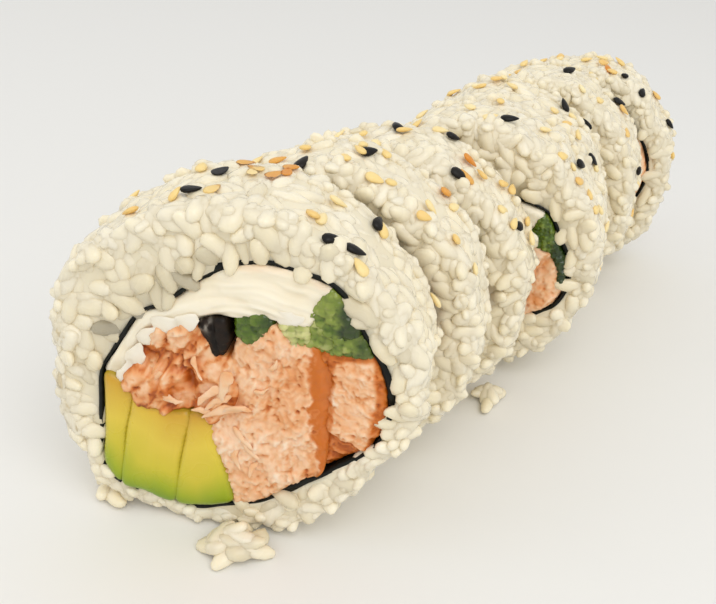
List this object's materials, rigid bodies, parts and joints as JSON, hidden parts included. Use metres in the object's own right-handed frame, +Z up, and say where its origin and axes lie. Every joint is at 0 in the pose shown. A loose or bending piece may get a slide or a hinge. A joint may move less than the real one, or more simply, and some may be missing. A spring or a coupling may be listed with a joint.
{
  "type": "uramaki roll",
  "caption": "Inside-out sushi roll cut into slices that lie in a staggered row: rice with sesame outside, a ring of nori, then cream cheese, salmon, avocado and cucumber.",
  "frame": {"origin": "centre of the footprint of the whole row of slices, on the surface it rests on", "axes": "+Z up, +Y along the row from the front slice to the last one, +X to the right of someone looking along the row"},
  "size_m": [0.059, 0.1532, 0.0553],
  "materials": {
    "rice": "cooked short-grain rice, moist and sticky",
    "nori": "roasted seaweed sheet, dark and soft",
    "cream_cheese": "soft cream cheese, smeared by the knife",
    "salmon": "cooked and flaked salmon with a browned crust",
    "avocado": "cut ripe avocado, yellow to green at the skin side",
    "cucumber": "moist cut cucumber, dark at the skin",
    "olive": "dark glossy curl, almost black"
  },
  "bodies": {
    "root": {"avocado_1": "avocado", "avocado_2": "avocado", "avocado_3": "avocado", "avocado_4": "avocado", "avocado_5": "avocado", "avocado_6": "avocado", "avocado_7": "avocado", "avocado_left_1": "avocado", "avocado_right_1": "avocado", "cream_cheese_1": "cream_cheese", "cream_cheese_2": "cream_cheese", "cream_cheese_3": "cream_cheese", "cream_cheese_4": "cream_cheese", "cream_cheese_5": "cream_cheese", "cream_cheese_6": "cream_cheese", "cream_cheese_7": "cream_cheese", "cucumber_2": "cucumber", "cucumber_3": "cucumber", "cucumber_4": "cucumber", "cucumber_5": "cucumber", "cucumber_6": "cucumber", "cucumber_7": "cucumber", "cucumber_dark_1": "cucumber", "cucumber_light_1": "cucumber", "cucumber_low_1": "cucumber", "cucumber_right_1": "cucumber", "cucumber_top_1": "cucumber", "nori_1": "nori", "nori_2": "nori", "nori_3": "nori", "nori_4": "nori", "nori_5": "nori", "nori_6": "nori", "nori_7": "nori", "olive_curl_1": "olive", "rice_1": "rice", "rice_2": "rice", "rice_3": "rice", "rice_4": "rice", "rice_5": "rice", "rice_6": "rice", "rice_7": "rice", "rice_clump_front": "rice", "rice_clump_side": "rice", "salmon_1": "salmon", "salmon_2": "salmon", "salmon_3": "salmon", "salmon_4": "salmon", "salmon_5": "salmon", "salmon_6": "salmon", "salmon_7": "salmon", "salmon_flakes_1": "salmon", "salmon_side_1": "salmon"}
  },
  "joints": []
}
